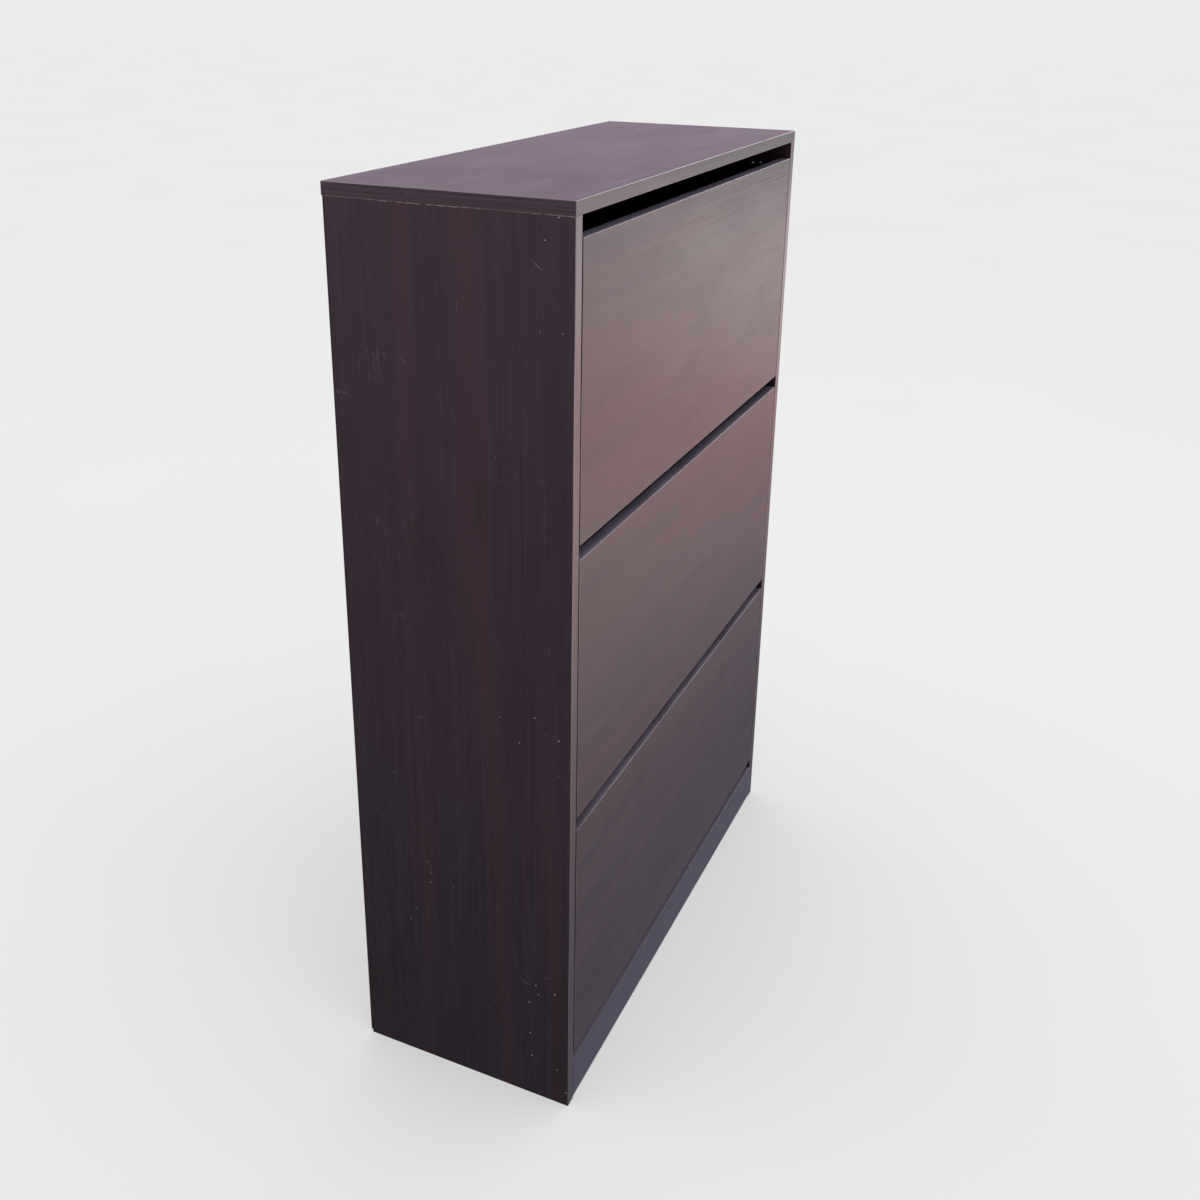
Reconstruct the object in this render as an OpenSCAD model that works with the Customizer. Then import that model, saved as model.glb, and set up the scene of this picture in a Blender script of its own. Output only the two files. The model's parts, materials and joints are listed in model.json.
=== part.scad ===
// Tip-out shoe cabinet: three flaps between two side panels, each with a two-row shoe bucket behind it.
// Millimetres. The origin is on the floor in the middle of the footprint; +X right, +Y to the back, +Z up.

/* [Overall size] */
// Width over the two side panels
cabinet_w = 806; // [600:1:1000]
// Depth from the front edges to the heads of the back panel's nails
cabinet_d = 312; // [258:1:330]
// Height from the floor to the top face
cabinet_h = 1200; // [1000:1:1450]

/* [Boards] */
// Thickness of the side panels, bottom panel, plinth and rails
panel_t = 16; // [13:0.5:20]
// Thickness of the top panel
top_t = 16; // [13:0.5:30]
// Thickness of the door panels
door_t = 16; // [13:0.5:20]
// Thickness of the hardboard back
back_t = 3; // [2.5:0.5:6]
// Thickness of the edging strips
edge_t = 1; // [0.4:0.1:2]
// Height of the plinth's upper edge above the floor
plinth_top = 62; // [50:1:120]
// Space between the floor and the plinth's lower edge
plinth_lift = 2; // [0:0.5:6]
// Space between the floor and the back panel's lower edge
back_lift = 4; // [1:0.5:20]
// Height of the cross rails at the back
rail_h = 80; // [60:1:100]

/* [Doors] */
// Grip gap between the top panel and the upper door
finger_gap = 24; // [18:1:40]
// Gap under each door
door_gap = 18; // [15:1:25]
// Gap between a door's end and the side panel
side_gap = 3; // [2:0.5:4]

/* [Pivots] */
// Pivot axis behind the cabinet's front plane
pivot_back = 30; // [28:1:34]
// Pivot axis above the door's lower edge
pivot_up = 30; // [28:1:34]
// Angle that a flap opens to
open_angle = 45; // [35:1:48]
// Radius of the steel pivot pin
pin_r = 3; // [2.5:0.1:4]
// Radial play of the pin in its bush
pin_clear = 0.05; // [0.02:0.01:0.1]
// Outer radius of the bush
bush_r = 5; // [4.5:0.1:7]
// Length of the bush inside the side panel
bush_l = 10.5; // [8:0.5:11]
// Radius of the bush's flange
bush_flange_r = 8; // [7:0.5:10]
// Thickness of the bush's flange
bush_flange_t = 2.5; // [2:0.1:4]
// Radius of the stop peg
peg_r = 3; // [2:0.1:3.5]
// Distance from the pivot axis to the stop peg
peg_orbit = 20; // [18:0.5:22]
// Direction of the stop peg from the pivot, from straight back, up positive
peg_angle = -30; // [-34:1:-26]
// Play between the stop peg and its slot
peg_clear = 0.3; // [0.2:0.05:0.6]

/* [Shoe buckets] */
// Space between the bucket and the cross rails
bucket_gap = 30; // [10:1:60]
// Thickness of the shelves and dividers
shelf_t = 6; // [4:0.5:8]
// Underside of the front shelf below the pivot axis
front_shelf_drop = 14; // [12:0.5:20]
// Underside of the rear shelf above the pivot axis
rear_shelf_rise = 36; // [20:1:60]
// Drop from the rear board's top to the divider's top
divider_drop = 25; // [0:1:60]
// Radius of the hollow in the bracket's upper edge
dip_r = 260; // [200:5:400]
// Thickness of the bracket's plate
plate_t = 3; // [2.5:0.5:5]
// Thickness of the bracket round the pivot
hub_t = 7; // [6.5:0.5:9]
// Radius of the bracket round the pivot
hub_r = 27; // [25:0.5:29]
// Thickness of the bracket's ribs
rib_t = 3; // [2:0.5:4]
// How far the ribs stand out from the bracket's outer face
rib_reach = 17.5; // [14:0.5:22]
// Width of the bracket's flange on the door
flange_w = 28.5; // [27:0.5:36]
// Play between the bracket and the bush's flange
bracket_play = 1; // [0.5:0.1:1.5]
// Play between a shelf's end and the bracket
shelf_play = 0.5; // [0.2:0.1:1]

/* [Catches] */
// Middle of the catch below the door's upper edge
catch_drop = 10; // [9:0.5:14]
// Height of the catch
catch_h = 15; // [12:0.5:18]
// Space between the catch and the sweep of the bucket
catch_clear = 5.5; // [3:0.5:10]
// Thickness of the strike plate
strike_t = 1.5; // [1:0.1:2]
// Play between the strike plate and the magnet
strike_play = 0.3; // [0.2:0.1:0.6]

/* [Fittings] */
// Radius of the wood screws
screw_r = 1.75; // [1.5:0.05:2]
// Radius of the wood screws' heads
screw_head_r = 3.5; // [3:0.1:4]
// Thickness of the wood screws' heads
screw_head_t = 2.2; // [1.5:0.1:3]
// Depth of the screws in the chipboard
screw_grip = 11; // [8:0.5:12]
// Radius of the cam discs
cam_r = 7.5; // [6:0.1:8]
// Depth of the cam discs
cam_t = 12; // [10:0.5:12.5]
// Distance from a joint to the cam's axis
cam_back = 24; // [20:1:34]
// Radius of the cam bolts
bolt_r = 3; // [2.5:0.1:3.4]
// Depth of the cam bolts' threads
bolt_thread = 11; // [9:0.5:12]
// Radius of the wooden dowels
dowel_r = 4; // [3:0.1:5]
// Radius of the wall screws' holes
wall_hole_r = 2.75; // [2.5:0.05:4]
// Distance between the two wall brackets
wall_spacing = 500; // [300:5:560]
// Radius of the back panel's nails
nail_r = 0.8; // [0.6:0.1:1.2]
// Thickness of the nails' heads
nail_head_t = 0.6; // [0.4:0.1:1]

/* [Hidden] */
FLAPS = ["upper", "middle", "lower"];
$fn = 48;

LAMINATE = "#3a2c30";
EDGING = "#5a4c50";
SHELF = "#2c2326";
PLASTIC = "#1c1c1e";
STEEL = "#9a9ca0";
BEECH = "#c9a878";
HARDBOARD = "#6d5340";

// Cuts reach this far past the faces they open
past = 1;
// Planes of the carcass
front = -cabinet_d / 2;
side_x = cabinet_w / 2;
inner_x = side_x - panel_t;
top_z = cabinet_h - top_t;
side_d = cabinet_d - back_t - nail_head_t;
side_back = front + side_d;
bottom_z = plinth_top - panel_t;
rail_y = side_back - panel_t;
rail_zs = [top_z - rail_h, plinth_top + (top_z - plinth_top - rail_h) / 2];
back_seam_z = rail_zs[1] + rail_h / 2;

// Doors, counted from the top
door_h = (top_z - finger_gap - len(FLAPS) * door_gap - plinth_top) / len(FLAPS);
door_x = inner_x - side_gap;
function door_z(n) = plinth_top + door_gap + (len(FLAPS) - 1 - n) * (door_h + door_gap);

// A flap's own frame has its origin on the pivot axis
pivot_y = front + pivot_back;
function pivot_z(n) = door_z(n) + pivot_up;
door_back = door_t - pivot_back;
door_top = door_h - pivot_up;
catch_z = door_top - catch_drop;
sweep_r = catch_z - catch_h / 2 - catch_clear;

// Bucket, in the flap's frame; its two upper corners stay under the sweep
bracket_sink = 8;
corner_sink = 2;
bucket_rear = side_d - panel_t - bucket_gap - pivot_back;
rear_board_back = bucket_rear - rib_t;
rear_board_front = rear_board_back - shelf_t;
divider_front = door_back + (rear_board_front - shelf_t - door_back) / 2;
divider_back = divider_front + shelf_t;
front_shelf_top = shelf_t - front_shelf_drop;
rear_shelf_top = rear_shelf_rise + shelf_t;
bracket_top = sweep_r - bracket_sink;
bracket_rear_top = sqrt(sweep_r * sweep_r - bucket_rear * bucket_rear) - corner_sink;
bracket_x = inner_x - bush_flange_t - bracket_play;
shelf_x = bracket_x - hub_t - shelf_play;
flange_t = 3;
flange_drop = 2;
flange_screw_in = 6;
flange_screw_ends = [28, 30];
flange_foot = rib_t + front_shelf_drop;
flange_screw_x = bracket_x - flange_w + flange_screw_in;
flange_screw_zs = [flange_screw_ends[0], bracket_top / 2, bracket_top - flange_screw_ends[1]];

// Centre of the circle of radius r that passes over points a and b
function circle_centre(a, b, r) =
    let (d = b - a, half = norm(d) / 2, up = [-d[1], d[0]] / norm(d))
    (a + b) / 2 + up * sqrt(r * r - half * half);
dip_centre = circle_centre([door_back, bracket_top], [bucket_rear, bracket_rear_top], dip_r);
function dip_z(y) = dip_centre[1] - sqrt(dip_r * dip_r - (y - dip_centre[0]) * (y - dip_centre[0]));
rear_board_top = min(dip_z(rear_board_front), dip_z(rear_board_back)) - rib_t;
divider_top = rear_board_top - divider_drop;

// Stop peg, in the flap's frame
peg_yz = peg_orbit * [cos(peg_angle), sin(peg_angle)];
peg_grip = 10;
peg_depth = 5;
slot_end_play = 0.5;
slot_depth = peg_depth + slot_end_play;
slot_turn = asin((peg_r + peg_clear) / peg_orbit);

// Magnetic catch, in the flap's frame
catch_front = door_back + strike_t + strike_play;
catch_w = 13;
catch_head_l = 18;
catch_foot_t = 3;
catch_foot_l = 32;
catch_foot_step = 2;
catch_screw_ys = [12, 25];
strike_l = 24;
strike_h = 14;
strike_screw_in = 6;
strike_x = door_x - edge_t;

// Fittings
screw_play = 0.25;
screw_hole_r = screw_r + screw_play;
bush_end_t = 1.5;
pin_end_play = 0.5;
cam_front = 100;
cam_rear = 58;
dowel_shift = 30;
cam_ys = [cam_front, side_d - cam_rear];
dowel_ys = [cam_front + dowel_shift, side_d - cam_rear - dowel_shift];
cam_play = 0.5;
bolt_play = 1;
bolt_hole_r = bolt_r + bolt_play;
dowel_in = 20;
dowel_out = 10;
fitting_step = 20;
block_w = 20;
block_in = 140;
block_screw_x = 4;
block_xs = [-1, 0, 1] * (inner_x - block_in);
bracket_leg = 30;
wall_bracket_w = 40;
wall_bracket_t = 2;
wall_hole_drop = 20;
nail_l = 18;
nail_head_r = 2.2;
nail_step = 150;
nail_edge = 12;
nail_row_end = 90;
nail_top_end = 30;
nail_foot_end = 20;
nail_seam_end = 40;

// ---- helpers ----

// Everything that is the same on the right and the left
module both_sides() {
    children();
    mirror([1, 0, 0]) children();
}

// Box between two corners
module block(low, high) {
    translate(low) cube(high - low);
}

// Outline in Y and Z, drawn out along X from x0 to x1
module along_x(x0, x1) {
    translate([x0, 0, 0]) rotate([90, 0, 90]) linear_extrude(x1 - x0) children();
}

// Cylinder along X from x0 to x1
module rod_x(x0, x1, r) {
    translate([x0, 0, 0]) rotate([0, 90, 0]) cylinder(h = x1 - x0, r = r);
}

// Cylinder along Y from y0 to y1
module rod_y(y0, y1, r) {
    translate([0, y0, 0]) rotate([-90, 0, 0]) cylinder(h = y1 - y0, r = r);
}

// A flap's own frame
module in_flap(n) {
    translate([0, pivot_y, pivot_z(n)]) children();
}

// Screw along +Z with its head under the origin's plane
module wood_screw(through) {
    translate([0, 0, -screw_head_t]) cylinder(h = screw_head_t, r = screw_head_r);
    cylinder(h = through + screw_grip, r = screw_r);
}

// ---- joints of the carcass ----
// At each joint +Z points out of the board that holds the cam, and +X to the cam's mouth.

module top_joints(ys) {
    both_sides()
        for (y = ys)
            translate([inner_x + panel_t / 2, front + y, top_z]) rotate([0, 0, 180]) children();
}

module bottom_joints(ys) {
    both_sides()
        for (y = ys)
            translate([inner_x, front + y, bottom_z + panel_t / 2]) rotate([0, 90, 0]) children();
}

module rail_joints(side) {
    both_sides()
        for (z = rail_zs)
            translate([inner_x, rail_y + panel_t / 2, z + rail_h / 2 + side * fitting_step])
                rotate([-90, 0, 0]) rotate([0, 90, 0]) children();
}

module plinth_joints() {
    both_sides()
        translate([inner_x, front + panel_t / 2, plinth_top / 2]) rotate([0, 90, 0]) children();
}

module cam_spots() {
    top_joints(cam_ys) children();
    bottom_joints(cam_ys) children();
    rail_joints(-1) children();
}

module dowel_spots() {
    top_joints(dowel_ys) children();
    bottom_joints(dowel_ys) children();
    rail_joints(1) children();
    plinth_joints() children();
}

module cam_bolt() {
    translate([0, 0, -cam_back]) cylinder(h = cam_back + bolt_thread, r = bolt_r);
}

module cam_disc() {
    difference() {
        translate([0, 0, -cam_back]) rod_x(panel_t / 2 - cam_t, panel_t / 2, cam_r);
        translate([0, 0, -cam_back - bolt_hole_r]) cylinder(h = cam_back, r = bolt_r + cam_play);
    }
}

module cam_cut() {
    cylinder(h = bolt_thread, r = bolt_r);
    translate([0, 0, -cam_back]) cylinder(h = cam_back, r = bolt_hole_r);
    translate([0, 0, -cam_back]) rod_x(panel_t / 2 - cam_t, panel_t / 2 + past, cam_r);
}

module dowel() {
    translate([0, 0, -dowel_in]) cylinder(h = dowel_in + dowel_out, r = dowel_r);
}

// ---- nails of the back panels ----

// Rows of nails in the side panels, rails and bottom panel, as X and Z
function spread(low, high, step) =
    let (count = max(1, ceil((high - low) / step)))
    [for (i = [0 : count]) low + (high - low) * i / count];
nail_x = side_x - panel_t / 2;
nail_rows = [
    rail_zs[0] + rail_h / 2,
    back_seam_z + nail_edge,
    back_seam_z - nail_edge,
    bottom_z + panel_t / 2,
];
nail_zs = concat(
    spread(back_seam_z + nail_seam_end, top_z - nail_top_end, nail_step),
    spread(back_lift + nail_foot_end, back_seam_z - nail_seam_end, nail_step));
nail_spots = concat(
    [for (x = [-nail_x, nail_x], z = nail_zs) [x, z]],
    [for (z = nail_rows, x = spread(nail_row_end - inner_x, inner_x - nail_row_end, nail_step)) [x, z]]);

module nails(r, head_r) {
    for (p = nail_spots)
        translate([p[0], cabinet_d / 2 - nail_head_t, p[1]]) {
            rod_y(-nail_l, 0, r);
            rod_y(0, nail_head_t, head_r);
        }
}

// ---- pivots and catches ----

module each_pivot() {
    both_sides()
        for (n = [0 : len(FLAPS) - 1])
            in_flap(n) children();
}

module bush() {
    difference() {
        union() {
            rod_x(inner_x, inner_x + bush_l, bush_r);
            rod_x(inner_x - bush_flange_t, inner_x, bush_flange_r);
        }
        rod_x(inner_x - bush_flange_t - past, inner_x + bush_l - bush_end_t, pin_r + pin_clear);
    }
}

module peg() {
    translate([0, peg_yz[0], peg_yz[1]]) rod_x(bracket_x - peg_depth, inner_x + peg_grip, peg_r);
}

module pivot_cut() {
    rod_x(inner_x - past, inner_x + bush_l, bush_r);
    translate([0, peg_yz[0], peg_yz[1]]) rod_x(inner_x - past, inner_x + peg_grip, peg_r);
}

module catch_screw_spots() {
    for (y = catch_screw_ys)
        translate([inner_x, catch_front + catch_head_l + y, catch_z]) rotate([0, 90, 0]) children();
}

module magnetic_catch() {
    foot_y = catch_front + catch_head_l;
    difference() {
        union() {
            block([inner_x - catch_w, catch_front, catch_z - catch_h / 2],
                  [inner_x, foot_y, catch_z + catch_h / 2]);
            block([inner_x - catch_foot_t, foot_y, catch_z - catch_h / 2 + catch_foot_step],
                  [inner_x, foot_y + catch_foot_l, catch_z + catch_h / 2 - catch_foot_step]);
        }
        catch_screw_spots() translate([0, 0, -catch_foot_t - past])
            cylinder(h = catch_foot_t + 2 * past, r = screw_hole_r);
    }
}

// ---- flap ----

module door_panel() {
    difference() {
        block([edge_t - door_x, -pivot_back, edge_t - pivot_up],
              [door_x - edge_t, door_back, door_top - edge_t]);
        door_screw_spots() cylinder(h = screw_grip, r = screw_r);
    }
}

module door_edging() {
    for (z = [-pivot_up, door_top - edge_t])
        block([-door_x, -pivot_back, z], [door_x, door_back, z + edge_t]);
    both_sides()
        block([door_x - edge_t, -pivot_back, edge_t - pivot_up], [door_x, door_back, door_top - edge_t]);
}

// The screws in a door's rear face point forward, -Y
module door_screw_spots() {
    both_sides()
        for (z = flange_screw_zs)
            translate([flange_screw_x, door_back, z]) rotate([90, 0, 0]) children();
    translate([strike_x - strike_l + strike_screw_in, door_back, catch_z]) rotate([90, 0, 0]) children();
}

module door_screws() {
    both_sides()
        for (z = flange_screw_zs)
            translate([flange_screw_x, door_back + flange_t, z]) rotate([90, 0, 0])
                wood_screw(flange_t);
    translate([strike_x - strike_l + strike_screw_in, door_back + strike_t, catch_z]) rotate([90, 0, 0])
        wood_screw(strike_t);
}

module strike_plate() {
    difference() {
        block([strike_x - strike_l, door_back, catch_z - strike_h / 2],
              [strike_x, door_back + strike_t, catch_z + strike_h / 2]);
        door_screw_spots() translate([0, 0, -strike_t - past])
            cylinder(h = strike_t + 2 * past, r = screw_hole_r);
    }
}

// Outline of the bracket: two steps for the shelves, a round hub and a hollow upper edge
module bracket_outline() {
    intersection() {
        difference() {
            union() {
                translate([door_back, -flange_foot])
                    square([divider_back + rib_t - door_back, flange_foot + sweep_r]);
                translate([door_back, rear_shelf_rise - rib_t])
                    square([bucket_rear - door_back, sweep_r]);
                circle(r = hub_r);
            }
            translate(dip_centre) circle(r = dip_r, $fn = 128);
        }
        translate([door_back, -hub_r - past])
            square([bucket_rear - door_back, hub_r + past + bracket_top]);
    }
}

module rib(low, high) {
    block([bracket_x - rib_reach, low[0], low[1]], [bracket_x, high[0], high[1]]);
}

module bracket_ribs() {
    rib([door_back, -flange_foot], [divider_back + rib_t, -front_shelf_drop]);
    rib([door_back, front_shelf_top], [divider_front, front_shelf_top + rib_t]);
    rib([divider_front - rib_t, front_shelf_top], [divider_front, divider_top]);
    rib([divider_back, -flange_foot], [divider_back + rib_t, rear_shelf_rise]);
    rib([divider_back, rear_shelf_top], [divider_back + rib_t, divider_top]);
    rib([divider_back, rear_shelf_rise - rib_t], [bucket_rear, rear_shelf_rise]);
    rib([divider_back, rear_shelf_top], [rear_board_front, rear_shelf_top + rib_t]);
    rib([rear_board_front - rib_t, rear_shelf_top], [rear_board_front, rear_board_top]);
    rib([rear_board_back, rear_shelf_rise - rib_t], [bucket_rear, rear_board_top]);
}

// Curved slot that the stop peg runs in, on the bracket's outer face
module peg_slot() {
    low = peg_angle - open_angle - slot_turn;
    high = peg_angle + slot_turn;
    far = 2 * peg_orbit;
    difference() {
        intersection() {
            circle(r = peg_orbit + peg_r + peg_clear);
            polygon([[0, 0], far * [cos(low), sin(low)], far * [cos(high), sin(high)]]);
        }
        circle(r = peg_orbit - peg_r - peg_clear);
    }
}

module right_bracket() {
    difference() {
        union() {
            along_x(bracket_x - plate_t, bracket_x) bracket_outline();
            along_x(bracket_x - hub_t, bracket_x)
                intersection() {
                    bracket_outline();
                    circle(r = hub_r);
                }
            along_x(bracket_x - hub_t, bracket_x)
                intersection() {
                    bracket_outline();
                    translate(dip_centre) circle(r = dip_r + rib_t, $fn = 128);
                }
            bracket_ribs();
            block([bracket_x - flange_w, door_back, -flange_foot],
                  [bracket_x, door_back + flange_t, bracket_top - flange_drop]);
        }
        rod_x(bracket_x - hub_t - past, bracket_x + past, pin_r);
        along_x(bracket_x - slot_depth, bracket_x + past) peg_slot();
        for (z = flange_screw_zs)
            translate([flange_screw_x, 0, z])
                rod_y(door_back - past, door_back + flange_t + past, screw_hole_r);
    }
}

module shelf(low, high) {
    block([-shelf_x, low[0], low[1]], [shelf_x, high[0], high[1]]);
}

module pivot_pins() {
    both_sides() rod_x(bracket_x - hub_t, inner_x + bush_l - bush_end_t - pin_end_play, pin_r);
}

// One piece of flap n, by its name
module flap_piece(n, piece) {
    in_flap(n) {
        if (piece == "door_panel") color(LAMINATE) door_panel();
        if (piece == "door_edging") color(EDGING) door_edging();
        if (piece == "left_bracket") color(PLASTIC) mirror([1, 0, 0]) right_bracket();
        if (piece == "right_bracket") color(PLASTIC) right_bracket();
        if (piece == "front_shelf") color(SHELF)
            shelf([door_back + flange_t, -front_shelf_drop], [divider_back, front_shelf_top]);
        if (piece == "divider") color(SHELF)
            shelf([divider_front, front_shelf_top], [divider_back, divider_top]);
        if (piece == "rear_shelf") color(SHELF)
            shelf([divider_back, rear_shelf_rise], [rear_board_back, rear_shelf_top]);
        if (piece == "rear_board") color(SHELF)
            shelf([rear_board_front, rear_shelf_top], [rear_board_back, rear_board_top]);
        if (piece == "pivot_pins") color(STEEL) pivot_pins();
        if (piece == "strike_plate") color(STEEL) strike_plate();
        if (piece == "door_screws") color(STEEL) door_screws();
    }
}

// ---- carcass ----

// Right side panel; the left one is its mirror image but for the catches
module side_panel(with_catches) {
    difference() {
        block([inner_x, front + edge_t, 0], [side_x, side_back, top_z]);
        cam_spots() cam_cut();
        dowel_spots() dowel();
        each_pivot() pivot_cut();
        nails(nail_r, nail_r);
        if (with_catches)
            for (n = [0 : len(FLAPS) - 1])
                in_flap(n) catch_screw_spots() cylinder(h = screw_grip, r = screw_r);
    }
}

module side_edging() {
    block([inner_x, front, 0], [side_x, front + edge_t, top_z]);
}

module top_panel() {
    difference() {
        block([edge_t - side_x, front + edge_t, top_z], [side_x - edge_t, -front, cabinet_h]);
        top_joints(cam_ys) cam_cut();
        top_joints(dowel_ys) dowel();
        wall_bracket_spots() wall_bracket_screw_spot() cylinder(h = screw_grip, r = screw_r);
    }
}

module top_panel_edging() {
    block([-side_x, front, top_z], [side_x, front + edge_t, cabinet_h]);
    both_sides() block([side_x - edge_t, front + edge_t, top_z], [side_x, -front, cabinet_h]);
}

module bottom_panel() {
    difference() {
        block([-inner_x, front + panel_t, bottom_z], [inner_x, side_back, plinth_top]);
        bottom_joints(cam_ys) cam_cut();
        bottom_joints(dowel_ys) dowel();
        nails(nail_r, nail_r);
        block_screw_spots() cylinder(h = screw_grip, r = screw_r);
    }
}

module plinth() {
    difference() {
        block([-inner_x, front, plinth_lift], [inner_x, front + panel_t, plinth_top]);
        plinth_joints() dowel();
        block_screw_spots() cylinder(h = screw_grip, r = screw_r);
    }
}

module rail(z) {
    difference() {
        block([-inner_x, rail_y, z], [inner_x, side_back, z + rail_h]);
        rail_joints(-1) cam_cut();
        rail_joints(1) dowel();
        nails(nail_r, nail_r);
        wall_holes();
    }
}

module back_panel(low, high) {
    difference() {
        block([edge_t - side_x, side_back, low], [side_x - edge_t, side_back + back_t, high]);
        nails(nail_r, nail_r);
        wall_holes();
    }
}

// ---- plinth blocks: one screw into the plinth, one up into the bottom panel ----

block_hole_out = block_w / 2;

module block_spots() {
    for (x = block_xs)
        translate([x, front + panel_t, bottom_z]) children();
}

module block_screw_spots() {
    block_spots() {
        translate([-block_screw_x, 0, -block_hole_out]) rotate([90, 0, 0]) children();
        translate([block_screw_x, block_hole_out, 0]) children();
    }
}

module plinth_blocks() {
    difference() {
        block_spots() block([-block_w / 2, 0, -block_w], [block_w / 2, block_w, 0]);
        block_screw_spots() translate([0, 0, -block_w - past])
            cylinder(h = block_w + 2 * past, r = screw_hole_r);
    }
}

module plinth_block_screws() {
    block_screw_spots() translate([0, 0, -block_w]) wood_screw(block_w);
}

// ---- wall brackets ----

module wall_bracket_spots() {
    for (x = [-1, 1] * wall_spacing / 2)
        translate([x, rail_y, top_z]) children();
}

module wall_bracket_screw_spot() {
    translate([0, -bracket_leg / 2, 0]) children();
}

module wall_holes() {
    wall_bracket_spots() translate([0, 0, -wall_hole_drop])
        rod_y(-wall_bracket_t - past, panel_t + back_t + past, wall_hole_r);
}

module wall_brackets() {
    difference() {
        wall_bracket_spots() {
            block([-wall_bracket_w / 2, -wall_bracket_t, -bracket_leg], [wall_bracket_w / 2, 0, 0]);
            block([-wall_bracket_w / 2, -bracket_leg, -wall_bracket_t], [wall_bracket_w / 2, 0, 0]);
        }
        wall_holes();
        wall_bracket_spots() wall_bracket_screw_spot() translate([0, 0, -wall_bracket_t - past])
            cylinder(h = wall_bracket_t + 2 * past, r = screw_hole_r);
    }
}

module wall_bracket_screws() {
    wall_bracket_spots() wall_bracket_screw_spot() translate([0, 0, -wall_bracket_t])
        wood_screw(wall_bracket_t);
}

// ---- nodes ----

color(LAMINATE) mirror([1, 0, 0]) side_panel(false);  // left_side_panel
color(LAMINATE) side_panel(true);  // right_side_panel
color(LAMINATE) top_panel();
color(LAMINATE) bottom_panel();
color(LAMINATE) plinth();
color(EDGING) mirror([1, 0, 0]) side_edging();  // left_side_edging
color(EDGING) side_edging();  // right_side_edging
color(EDGING) top_panel_edging();
color(LAMINATE) rail(rail_zs[0]);  // rear_top_rail
color(LAMINATE) rail(rail_zs[1]);  // rear_middle_rail
color(HARDBOARD) back_panel(back_seam_z, top_z);  // upper_back_panel
color(HARDBOARD) back_panel(back_lift, back_seam_z);  // lower_back_panel
color(STEEL) nails(nail_r, nail_head_r);  // back_panel_nails
color(STEEL) cam_spots() cam_disc();  // cam_discs
color(STEEL) cam_spots() cam_bolt();  // cam_bolts
color(BEECH) dowel_spots() dowel();  // wood_dowels
color(PLASTIC) plinth_blocks();
color(STEEL) plinth_block_screws();
color(STEEL) wall_brackets();
color(STEEL) wall_bracket_screws();
color(PLASTIC) each_pivot() bush();  // pivot_bushes
color(STEEL) each_pivot() peg();  // stop_pegs
color(STEEL)  // catch_screws
    for (n = [0 : len(FLAPS) - 1])
        in_flap(n) catch_screw_spots() translate([0, 0, -catch_foot_t]) wood_screw(catch_foot_t);

for (n = [0 : len(FLAPS) - 1]) {
    color(PLASTIC) in_flap(n) magnetic_catch();
    for (piece = ["door_panel", "door_edging", "left_bracket", "right_bracket", "front_shelf", "divider",
                  "rear_shelf", "rear_board", "pivot_pins", "strike_plate", "door_screws"])
        flap_piece(n, piece);
}
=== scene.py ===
# %% [markdown]
# # A tip-out shoe cabinet
# The cabinet is an assembly of laminated boards with three flaps that tip out on steel pins. The frame below
# holds every board, bracket and screw at its real size and place. This lesson gives them their finishes, and
# makes again, with rounded arrises, the pieces whose edges catch the light.

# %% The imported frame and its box
import json

import bmesh
import bpy
import numpy as np
from mathutils import Matrix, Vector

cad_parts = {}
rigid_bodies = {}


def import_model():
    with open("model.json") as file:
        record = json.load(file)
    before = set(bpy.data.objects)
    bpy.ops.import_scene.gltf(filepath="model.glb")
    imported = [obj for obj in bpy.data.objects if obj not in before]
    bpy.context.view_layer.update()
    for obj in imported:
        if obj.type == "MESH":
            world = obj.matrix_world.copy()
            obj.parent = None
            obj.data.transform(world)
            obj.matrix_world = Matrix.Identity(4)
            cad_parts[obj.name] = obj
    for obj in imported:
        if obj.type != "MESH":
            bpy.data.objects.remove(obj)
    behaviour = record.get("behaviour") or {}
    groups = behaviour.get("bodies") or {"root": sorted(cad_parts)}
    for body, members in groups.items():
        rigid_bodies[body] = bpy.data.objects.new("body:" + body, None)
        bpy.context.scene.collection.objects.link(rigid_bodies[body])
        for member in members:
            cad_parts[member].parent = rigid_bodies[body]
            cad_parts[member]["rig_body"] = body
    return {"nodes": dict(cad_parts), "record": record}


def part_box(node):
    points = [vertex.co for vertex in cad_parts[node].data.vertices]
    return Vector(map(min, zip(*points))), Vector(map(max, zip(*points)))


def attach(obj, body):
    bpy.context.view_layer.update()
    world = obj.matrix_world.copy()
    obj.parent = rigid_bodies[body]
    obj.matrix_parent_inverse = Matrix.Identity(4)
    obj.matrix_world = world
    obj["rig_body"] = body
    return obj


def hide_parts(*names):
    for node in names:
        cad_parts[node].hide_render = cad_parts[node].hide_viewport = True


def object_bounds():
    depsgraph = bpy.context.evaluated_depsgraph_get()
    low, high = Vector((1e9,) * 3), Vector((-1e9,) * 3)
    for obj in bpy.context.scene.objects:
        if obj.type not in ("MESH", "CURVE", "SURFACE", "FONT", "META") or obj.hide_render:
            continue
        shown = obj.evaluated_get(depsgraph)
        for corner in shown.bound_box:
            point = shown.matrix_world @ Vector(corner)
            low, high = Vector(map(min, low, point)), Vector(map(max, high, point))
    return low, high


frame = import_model()
cad_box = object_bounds()
FLAPS = ("upper", "middle", "lower")
MM = 0.001
X, Y, Z = 0, 1, 2
print("frame:", len(frame["nodes"]), "nodes, box", [[round(x, 4) for x in corner] for corner in cad_box])

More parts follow.
